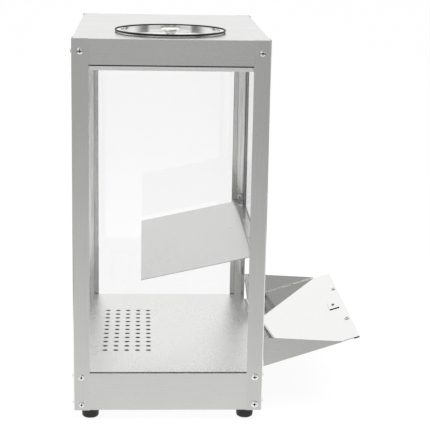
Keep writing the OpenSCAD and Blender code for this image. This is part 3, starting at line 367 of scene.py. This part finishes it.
steels = {
    # Belt ground along the post: soft upright streaks
    "postSteel": {"color": "#C7C7C6", "shade": "#BFBFBE", "roughness": (0.26, 0.34), "grain": "z",
        "depth": 0.002},
    # The inner sides of posts and the glazing angles: a streaky grain, made brighter than the posts' outer
    # faces as painted light
    "paintedLightInnerSteel": {"color": "#FBFBFA", "shade": "#E4E4E2", "roughness": (0.10, 0.16), "grain": "z",
        "depth": 0.004, "spacing": 4.5},
    "paintedLightGlazingSteel": {"color": "#FBFBFA", "shade": "#E0E0DE", "roughness": (0.10, 0.16), "grain": "z",
        "depth": 0.004, "spacing": 4.5},
    # Belt ground level: satin, with faint level streaks on upright faces
    "linerSteel": {"color": "#F4F4F3", "shade": "#E6E6E4", "roughness": (0.24, 0.32), "grain": "flat",
        "depth": 0.002},
    "skirtSteel": {"color": "#C7C7C6", "shade": "#C2C2C1", "roughness": (0.24, 0.32), "grain": "flat",
        "depth": 0.001},
    "doorBackSteel": {"color": "#B8B8B7", "shade": "#B3B3B2", "roughness": (0.24, 0.32), "grain": "flat",
        "depth": 0.001},
    "topSteel": {"color": "#DFDFDE", "shade": "#DBDBDA", "roughness": (0.20, 0.26), "grain": "flat",
        "depth": 0.001},
    # The floor's finer grain runs from side to side, so what stands on it mirrors softly
    "floorSteel": {"color": "#EBEBEA", "shade": "#E7E7E6", "roughness": (0.26, 0.30), "grain": "x",
        "depth": 0.0005, "stretch": 0.9},
    "baffleSteel": {"color": "#D4D4D3", "shade": "#CFCFCE", "roughness": (0.24, 0.28), "grain": "x",
        "depth": 0.001},
    # Bright annealed, left under its film until the bending was done: almost a mirror
    "doorSteel": {"color": "#F4F4F3", "shade": "#F1F1F0", "roughness": (0.03, 0.05), "grain": "x",
        "depth": 0.0002},
    # The same steel stretched in the press at its bends: duller, and bright from every side
    "foldSteel": {"color": "#F6F6F5", "shade": "#F2F2F1", "roughness": (0.22, 0.28), "grain": "x",
        "depth": 0.0002},
    # Bent rod and hinge leaves as rolled: plain satin
    "handleSteel": {"color": "#DCDBD9", "shade": "#CFCECB", "roughness": (0.18, 0.26), "grain": "x",
        "depth": 0.001},
    "hingeSteel": {"color": "#CFCECC", "shade": "#C2C1BE", "roughness": (0.30, 0.40), "grain": "x",
        "depth": 0.002},
    # Plated fixings: bright and even. Unplated ones are darker and duller
    "zincPlatedSteel": {"color": "#E3E3E1", "shade": "#D9D9D6", "roughness": (0.08, 0.14), "grain": "z",
        "depth": 0.0005},
    "nickelPlatedSteel": {"color": "#F0F0EE", "shade": "#ECECEA", "roughness": (0.04, 0.07), "grain": "z",
        "depth": 0.0002},
    "darkSteel": {"color": "#9A9996", "shade": "#8A8986", "roughness": (0.30, 0.42), "grain": "x",
        "depth": 0.002},
    # Edges: oxidised by the laser; rough from the shears and darkened there as painted shade; and black as
    # painted shade where no light reaches them
    "cutEdgeSteel": {"color": "#8A8987", "shade": "#757472", "roughness": (0.45, 0.60), "grain": "x",
        "depth": 0.002},
    "shearedShadeSteel": {"color": "#474645", "shade": "#3C3B3A", "roughness": (0.45, 0.60), "grain": "x",
        "depth": 0.002},
    "paintedShadeSteel": {"color": "#262625", "shade": "#1E1E1D", "roughness": (0.40, 0.55), "grain": "x",
        "depth": 0.002},
    # Round the heater: galvanised duct and a nickel alloy sheath, both dulled by heat
    "ductSteel": {"color": "#4A4C4E", "shade": "#3E4042", "roughness": (0.40, 0.55), "grain": "x",
        "depth": 0.002},
    "heaterSheathAlloy": {"color": "#6E6A64", "shade": "#5C5853", "roughness": (0.40, 0.55), "grain": "x",
        "depth": 0.002},
}
mouldings = {
    # Compression moulded rubber: matte black. The feet are black rubber; the same black on the lid seal, the
    # lid's bead and the strip under the top skirt is painted shade
    "footRubber": {"color": "#1B1B1C", "roughness": (0.55, 0.70), "grain": 0.9, "depth": 0.03, "ior": 1.52},
    "paintedShadeRubber": {"color": "#141415", "roughness": (0.50, 0.62), "grain": 0.8, "depth": 0.02, "ior": 1.52},
    # Injection moulded plastics: a spark textured one, and a glossier one for the switch
    "blackPlastic": {"color": "#202124", "roughness": (0.38, 0.50), "grain": 0.7, "depth": 0.02, "ior": 1.46},
    "switchPlastic": {"color": "#18181A", "roughness": (0.16, 0.24), "grain": 1.5, "depth": 0.005,
        "ior": 1.53},
    # Pressed and fired steatite: cream, unglazed
    "steatiteCeramic": {"color": "#E4DFD0", "roughness": (0.45, 0.60), "grain": 1.0, "depth": 0.03,
        "ior": 1.6},
}
lidCentre = sum(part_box("lid"), Vector()) / 2
lidLook = {"color": "#F0F0EE", "roughness": (0.05, 0.10), "spacing": 2.4, "depth": 0.0008}
glassLook = {"color": "#FEFEFE", "straight": 0.042, "glancing": 0.24, "power": 5.0, "roughness": 0.02}

materials = {name: brushedSteel(name, look) for name, look in steels.items()}
materials.update({name: mouldedMaterial(name, look) for name, look in mouldings.items()})
materials["spunLidSteel"] = spunSteel("spunLidSteel", lidLook, lidCentre)
materials["floatGlass"] = windowGlass("floatGlass", glassLook)

# What each of the record's finishes is made of, and then the few nodes that differ
slotMaterial = {
    "frame_steel": "skirtSteel", "glass": "floatGlass", "top_steel": "topSteel", "lid_steel": "spunLidSteel",
    "seal": "paintedShadeRubber", "floor_steel": "floorSteel", "door_steel": "doorSteel",
    "handle_steel": "handleSteel", "rubber": "footRubber", "bright_fixings": "zincPlatedSteel",
    "dark_fixings": "darkSteel", "hinge_steel": "hingeSteel", "catch_plastic": "blackPlastic",
    "fan_plastic": "blackPlastic", "motor_steel": "darkSteel", "duct_steel": "ductSteel",
    "heater_sheath": "heaterSheathAlloy", "ceramic": "steatiteCeramic",
    "thermostat_plastic": "blackPlastic", "switch_plastic": "switchPlastic", "gland_plastic": "blackPlastic",
}
posts = [n for n in nodes if n.startswith(("post_front", "post_rear"))]
glazingAngles = [n for n in nodes if n.startswith("glazing_angle")]
nodeMaterial = {n: slotMaterial[nodeSlot[n]] for n in nodes}
# Posts and glazing angles take the brighter steel as painted light; the posts' outward faces keep postSteel
nodeMaterial.update({n: "paintedLightInnerSteel" for n in posts})
nodeMaterial.update({n: "paintedLightGlazingSteel" for n in glazingAngles})
nodeMaterial.update({"baffle": "baffleSteel", "top_liner": "linerSteel"})

for name, obj in nodes.items():
    obj.data.materials.clear()
    obj.data.materials.append(materials[nodeMaterial[name]])
    obj.data.polygons.foreach_set("material_index", [0] * len(obj.data.polygons))
print("materials made:", len(materials))

# Meshes made from the solids
solidLook = {"merge": 0.002, "flat": 0.5, "sharp": 40}  # millimetres, degrees, degrees


def cleanSolid(node):
    # A copy of the node's solid, with its triangles joined into whole flat faces
    work = bmesh.new()
    work.from_mesh(nodes[node].data)
    bmesh.ops.remove_doubles(work, verts=work.verts, dist=solidLook["merge"] * mm)
    bmesh.ops.dissolve_limit(work, angle_limit=math.radians(solidLook["flat"]), verts=work.verts,
        edges=work.edges)
    return work


def smoothFaces(work):
    bmesh.ops.recalc_face_normals(work, faces=work.faces)
    sharp = math.radians(solidLook["sharp"])
    for face in work.faces:
        face.smooth = True
    for edge in work.edges:
        edge.smooth = len(edge.link_faces) == 2 and edge.calc_face_angle(0) < sharp


def meshOf(work, name, finishes):
    mesh = bpy.data.meshes.new(name)
    for finish in finishes:
        mesh.materials.append(materials[finish])
    work.to_mesh(mesh)
    work.free()
    return mesh


def addPiece(mesh, like, stands=True):
    # A piece rides with the body of the node that it is like, and hides that node unless told otherwise
    piece = bpy.data.objects.new(mesh.name, mesh)
    scene.collection.objects.link(piece)
    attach(piece, nodeBody[like])
    if stands:
        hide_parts(like)
    return piece


def ringAt(work, seat, radius, height, turns):
    spots = (Vector((radius * math.cos(turn), radius * math.sin(turn), height)) for turn in turns)
    return [work.verts.new(seat @ spot) for spot in spots]


def joinRings(work, low, high, index=0):
    for i in range(len(low)):
        j = (i + 1) % len(low)
        work.faces.new((low[i], low[j], high[j], high[i])).material_index = index


def turnsOf(sides, first=0):
    return [math.radians(first + 360 / sides * i) for i in range(sides)]


# Sheet pieces with their real folds: each CAD solid's fold gets its bend radius, and each cut edge a fine
# deburred one and the duller steel of a laser cut, except on the door, strike plate and floor deck, whose
# edges are darker as painted shade.
folds = {
    "bend": 1.6, "inner": 0.7, "edge": 0.22, "sheet": 2.5,  # radii, and the widest cut edge, millimetres
    "steps": 3, "fold": 32, "smooth": 50, "least": 3,  # facets of a bend, then degrees between faces
}
outerSteel = {"door": "doorBackSteel", "top_cover": "skirtSteel"}  # on upright faces that look outward
outerSteel.update({n: "postSteel" for n in posts})
# The door, strike plate and floor deck edges are darkened as painted shade
edgeShadeSteel = {"door": "shearedShadeSteel", "strike_plate": "paintedShadeSteel", "floor_deck": "paintedShadeSteel"}
sheetNodes = [n for n in nodes if n in posts + glazingAngles]
sheetNodes += ["top_cover", "top_liner", "base_shell", "floor_deck", "crossbar", "baffle", "door",
    "strike_plate"]


def faceWidth(face):
    return 2 * face.calc_area() / max(face.calc_perimeter(), 1e-9)


def isCutEdge(face, look):
    # A narrow face whose long edges are all sharp, so not a facet of a rounded bend
    if faceWidth(face) > look["sheet"] * mm:
        return False
    long = max(edge.calc_length() for edge in face.edges)
    return all(len(edge.link_faces) != 2 or edge.calc_face_angle(0) > math.radians(look["smooth"])
        for edge in face.edges if edge.calc_length() > long / 2)


def isHoleWall(face, look):
    least, most = math.radians(look["least"]), math.radians(look["fold"])
    return any(len(edge.link_faces) == 2 and not edge.is_convex and least < edge.calc_face_angle(0) < most
        for edge in face.edges)


def foldKind(edge, look):
    wide = min(faceWidth(face) for face in edge.link_faces) > look["sheet"] * mm
    if not wide:
        return "edge"
    return "bend" if edge.is_convex else "inner"


def bevelFolds(work, kind, look, rims):
    # rims: whether the edges of holes are deburred too
    edges = [edge for edge in work.edges if len(edge.link_faces) == 2
        and edge.calc_face_angle(0) >= math.radians(look["fold"])
        and (rims or not any(isHoleWall(face, look) for face in edge.link_faces))
        and foldKind(edge, look) == kind]
    if edges:
        bmesh.ops.bevel(work, geom=edges, offset=look[kind] * mm, offset_type="OFFSET", affect="EDGES",
            segments=look["steps"] if kind != "edge" else 1, profile=0.5, clamp_overlap=True)
        work.normal_update()


def foldNormals(work, look):
    # Wide faces shade exactly flat, and a fold's facets run smoothly into them
    wide = {face: faceWidth(face) > look["sheet"] * mm for face in work.faces}
    smooth = math.radians(look["smooth"])
    normals = []
    for face in work.faces:
        for loop in face.loops:
            near = [f for f in loop.vert.link_faces if f.normal.angle(face.normal, 0) < smooth]
            flat = [f for f in near if wide[f]]
            if wide[face] or not near:
                normals.append(face.normal.copy())
            elif flat:
                normals.append(max(flat, key=lambda f: f.calc_area()).normal.copy())
            else:
                normals.append(sum((f.normal for f in near), Vector()).normalized())
    return normals


def sheetPiece(node, look):
    work = cleanSolid(node)
    work.normal_update()
    middle = sum(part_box(node), Vector()) / 2
    for face in work.faces:
        face.smooth = True
        if isCutEdge(face, look):
            face.material_index = 1
        elif face.normal.z < levelFace and face.normal.dot(face.calc_center_median() - middle) > 0:
            face.material_index = 2
    for kind in ("bend", "inner", "edge"):
        bevelFolds(work, kind, look, rims=node not in posts)
    normals = foldNormals(work, look)
    mesh = meshOf(work, node + "Sheet", (nodeMaterial[node], edgeShadeSteel.get(node, "cutEdgeSteel"),
        outerSteel.get(node, nodeMaterial[node])))
    mesh.normals_split_custom_set(normals)
    return addPiece(mesh, node)


for name in sheetNodes:
    sheetPiece(name, folds)
print("sheet pieces folded:", len(sheetNodes))

# The door's inner folds: the cheeks meet the panel in a round that catches the light
roundLook = {"radius": 2.6, "least": 60, "steps": 8, "angles": (60, 120)}  # least: shortest fold, millimetres


def addRound(work, edge, look):
    one, two = edge.link_faces
    start, end = (v.co.copy() for v in edge.verts)
    along = (end - start).normalized()
    away = []
    for face in (one, two):
        side = face.normal.cross(along)
        away.append(side if side.dot(face.calc_center_median() - start) > 0 else -side)
    radius, half = look["radius"] * mm, away[0].angle(away[1]) / 2
    middle = (away[0] + away[1]).normalized() * radius / math.sin(half)
    normals = [one.normal.slerp(two.normal, i / look["steps"]) for i in range(look["steps"] + 1)]
    section = [middle - normal * radius for normal in normals] + [Vector()]
    rings = [[work.verts.new(spot + p) for p in section] for spot in (start, end)]
    joinRings(work, *rings)
    work.faces.new(rings[1])
    work.faces.new(list(reversed(rings[0])))


def doorRounds(node, look):
    source, work = cleanSolid(node), bmesh.new()
    least, most = (math.radians(angle) for angle in look["angles"])
    folded = [edge for edge in source.edges if len(edge.link_faces) == 2 and not edge.is_convex
        and edge.calc_length() >= look["least"] * mm and least < edge.calc_face_angle(0) < most]
    for edge in folded:
        addRound(work, edge, look)
    source.free()
    smoothFaces(work)
    print("door rounds:", len(folded))
    return addPiece(meshOf(work, node + "Rounds", ["foldSteel"]), node, stands=False)


doorRounds("door", roundLook)

# Screws: a domed head with a cross recess in place of each plain one
screwLook = {
    "rim": 0.35, "rings": 5,  # the upright rim as a share of the head's height, and steps of the dome
    "recess": 0.6, "recessDepth": 0.4, "narrow": 0.45,  # shares of the head's radius, and the taper
}
screwNodes = ["post_screws", "baffle_screws", "handle_screws", "catch_screws", "lid_knob_screw",
    "foot_screws", "fan_screws", "hinge_screws"]
seatLook = {"slack": 0.1, "head": 0.9}  # millimetres at an end, share of the reach that is head
headTurns = turnsOf(36, first=5)  # nine to a quarter, of which an arm of the cross takes three gaps


def meshIslands(work):
    todo, islands = set(work.faces), []
    while todo:
        island, edge = set(), [todo.pop()]
        while edge:
            face = edge.pop()
            island.add(face)
            near = {f for v in face.verts for f in v.link_faces} & todo
            todo -= near
            edge += near
        islands.append(list(island))
    return islands


def screwSeat(faces, look=seatLook):
    # The largest flat face lies across the axis, and the wider end is the head's
    flat = max(faces, key=lambda f: f.calc_area())
    axis, middle = flat.normal.copy(), flat.calc_center_median()
    verts = {v for f in faces for v in f.verts}
    for turn in (1, -1):
        axis = axis * turn
        seat = Matrix.Translation(middle) @ axis.to_track_quat("Z", "Y").to_matrix().to_4x4()
        spots = [(seat.inverted() @ v.co) for v in verts]
        crown, tip = max(p.z for p in spots), min(p.z for p in spots)
        crownReach, tipReach = (max(p.xy.length for p in spots if abs(p.z - end) < look["slack"] * mm)
            for end in (crown, tip))
        if crownReach > tipReach:
            break
    reach = max(p.xy.length for p in spots)
    under = min(p.z for p in spots if p.xy.length > look["head"] * reach)
    return seat @ Matrix.Translation((0, 0, crown)), reach, under - crown, tip - crown, tipReach


def addScrew(work, faces, look):
    seat, reach, under, tip, shank = screwSeat(faces)
    flat, rim = look["recess"] * reach, under * (1 - look["rim"])
    rings = [ringAt(work, seat, radius, height, headTurns)
        for radius, height in ((shank, tip), (shank, under), (reach, under))]
    for i in range(look["rings"] + 1):
        turn = i / look["rings"] * math.pi / 2
        radius, height = flat + (reach - flat) * math.cos(turn), rim * (1 - math.sin(turn))
        rings.append(ringAt(work, seat, radius, height, headTurns))
    work.faces.new(list(reversed(rings[0])))
    for low, high in zip(rings, rings[1:]):
        joinRings(work, low, high)
    # The recess is a cross of four arms, and the flat round it is four quarters
    mouth = rings[-1]
    half = flat * math.sin(headTurns[1])
    corners = [Vector((half * x, half * y, 0)) for x, y in ((1, 1), (-1, 1), (-1, -1), (1, -1))]
    inner = [work.verts.new(seat @ corner) for corner in corners]
    edge = []
    for quarter, corner in enumerate(inner):
        first = quarter * len(headTurns) // 4 + 1
        last = first + 6
        work.faces.new([corner] + mouth[first:last + 1])
        edge += [mouth[first - 2], mouth[first - 1], mouth[first], corner, mouth[last]]
    middle = seat @ Vector((0, 0, -look["recessDepth"] * reach))
    bottom = [work.verts.new(middle + (v.co - seat.translation) * look["narrow"]) for v in edge]
    # The recess's walls and floor take the black steel: painted shade
    joinRings(work, edge, bottom, 1)
    work.faces.new(bottom).material_index = 1


def fixingPiece(node, look, add):
    source, work = cleanSolid(node), bmesh.new()
    for island in meshIslands(source):
        add(work, island, look)
    source.free()
    smoothFaces(work)
    steel = "nickelPlatedSteel" if nodeSlot[node] == "bright_fixings" else "darkSteel"
    # The second finish is the black of recesses and stud ends: painted shade
    return addPiece(meshOf(work, node + "Domed", (steel, "paintedShadeSteel")), node)


for name in screwNodes:
    fixingPiece(name, screwLook, addScrew)
print("screws given heads:", len(screwNodes))

# The lid: its rolled bead is painted black, as painted dark reflection and shadow
lidDarkBand = {"width": 2.7}  # millimetres in from the lid's edge


def paintDarkLidRim(look):
    mesh = nodes["lid"].data.copy()
    mesh.name = "lidDarkRim"
    mesh.materials.append(materials["paintedShadeRubber"])
    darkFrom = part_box("lid")[1].x - lidCentre.x - look["width"] * mm
    for face in mesh.polygons:
        face.material_index = 1 if (face.center - lidCentre).xy.length > darkFrom else 0
    return addPiece(mesh, "lid")


paintDarkLidRim(lidDarkBand)
# The black band on the lid's bead is painted dark reflection and shadow
print("lid trimmed")

# Nuts: a flange, a chamfered hexagon and the end of the stud in it, black as painted shade
nutLook = {
    "flange": 1.28, "crown": 0.8, "stud": 0.5,  # radii, as shares of the hexagon's
    "chamfer": 0.18, "studIn": 0.5,  # shares of the height
    "flangeHeight": 0.7, "studOut": 0.15,  # millimetres
}


def addNut(work, faces, look):
    seat, reach, _, tip, _ = screwSeat(faces)
    # A nut's outer side looks into the cabinet, or down under it
    inward = Vector((-seat.translation.x, cabinet["centre"].y - seat.translation.y, 0))
    axis = seat.to_3x3() @ Vector((0, 0, 1))
    if axis.dot(inward) < 0 and abs(axis.z) < 0.5 or axis.z > 0.5:
        seat = seat @ Matrix.Translation((0, 0, tip)) @ Matrix.Rotation(math.pi, 4, "X")
    flangeTop = tip + look["flangeHeight"] * mm
    flange = [ringAt(work, seat, reach * look["flange"], z, turnsOf(36)) for z in (tip, flangeTop)]
    work.faces.new(list(reversed(flange[0])))
    joinRings(work, *flange)
    work.faces.new(flange[1])
    outline = ((1, (tip + flangeTop) / 2), (1, look["chamfer"] * tip), (look["crown"], 0), (look["stud"], 0))
    sides = [ringAt(work, seat, reach * share, z, turnsOf(6)) for share, z in outline]
    for low, high in zip(sides, sides[1:]):
        joinRings(work, low, high)
    work.faces.new(list(reversed(sides[0])))
    stud = [ringAt(work, seat, reach * look["stud"], z, turnsOf(36))
        for z in (tip * look["studIn"], look["studOut"] * mm)]
    # The stud is black: painted shade
    joinRings(work, *stud, 1)
    work.faces.new(stud[1]).material_index = 1
    work.faces.new(list(reversed(stud[0]))).material_index = 1
    work.faces.new(list(reversed(sides[3])))


fixingPiece("frame_nuts", nutLook, addNut)
print("nuts made")

# A black strip that shows under the top skirt's edge, all round: painted shadow of the gap there
shadowStripLook = {"drop": 2.3, "rise": 6.0, "thick": 0.9}  # millimetres


def glazingShadowStrip(look):
    left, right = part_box("window_left")[0].x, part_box("window_right")[1].x
    front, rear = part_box("window_front")[0].y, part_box("window_rear")[1].y
    skirtZ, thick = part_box("top_cover")[0].z, look["thick"] * mm
    bottom, top = skirtZ - look["drop"] * mm, skirtZ + look["rise"] * mm
    work = bmesh.new()
    rings = []
    for grow, z in ((0, bottom), (thick, bottom), (thick, top), (0, top)):
        corners = ((left - grow, front - grow), (right + grow, front - grow), (right + grow, rear + grow),
            (left - grow, rear + grow))
        rings.append([work.verts.new((x, y, z)) for x, y in corners])
    for ring, following in zip(rings, rings[1:] + rings[:1]):
        joinRings(work, ring, following)
    bmesh.ops.recalc_face_normals(work, faces=work.faces)
    return addPiece(meshOf(work, "glazingShadowStrip", ["paintedShadeRubber"]), "top_liner", stands=False)


glazingShadowStrip(shadowStripLook)
# The strip is painted shadow
print("glazing tape laid")
